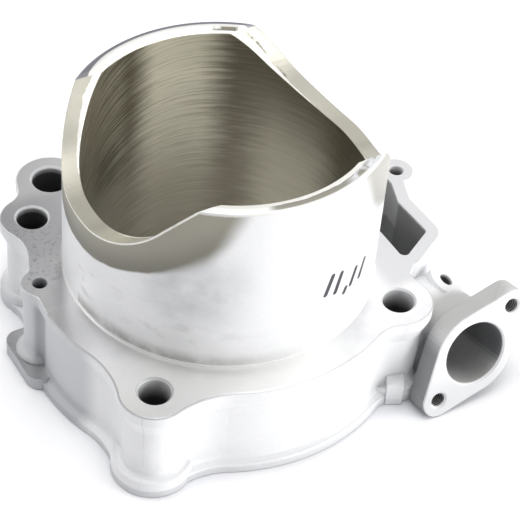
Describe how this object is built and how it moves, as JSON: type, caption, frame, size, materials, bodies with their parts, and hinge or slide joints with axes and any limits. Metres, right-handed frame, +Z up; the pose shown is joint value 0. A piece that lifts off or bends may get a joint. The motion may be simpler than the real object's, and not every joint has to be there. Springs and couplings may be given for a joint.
{
  "type": "engine cylinder",
  "caption": "Liquid-cooled engine cylinder casting with a plated bore, scalloped skirt, bolted deck, chain tunnel and a flanged water neck.",
  "frame": {"origin": "bore axis at the head-gasket face", "axes": "+Z up the bore, from the head face towards the skirt and crankcase; +X along the crank, towards the chain tunnel; +Y away from the side with the open water neck flange"},
  "size_m": [0.1578, 0.1462, 0.1036],
  "materials": {
    "casting": "bead-blasted casting with machined deck and head faces and a honed nickel-plated bore"
  },
  "bodies": {
    "root": {"cylinder": "casting"}
  },
  "joints": []
}
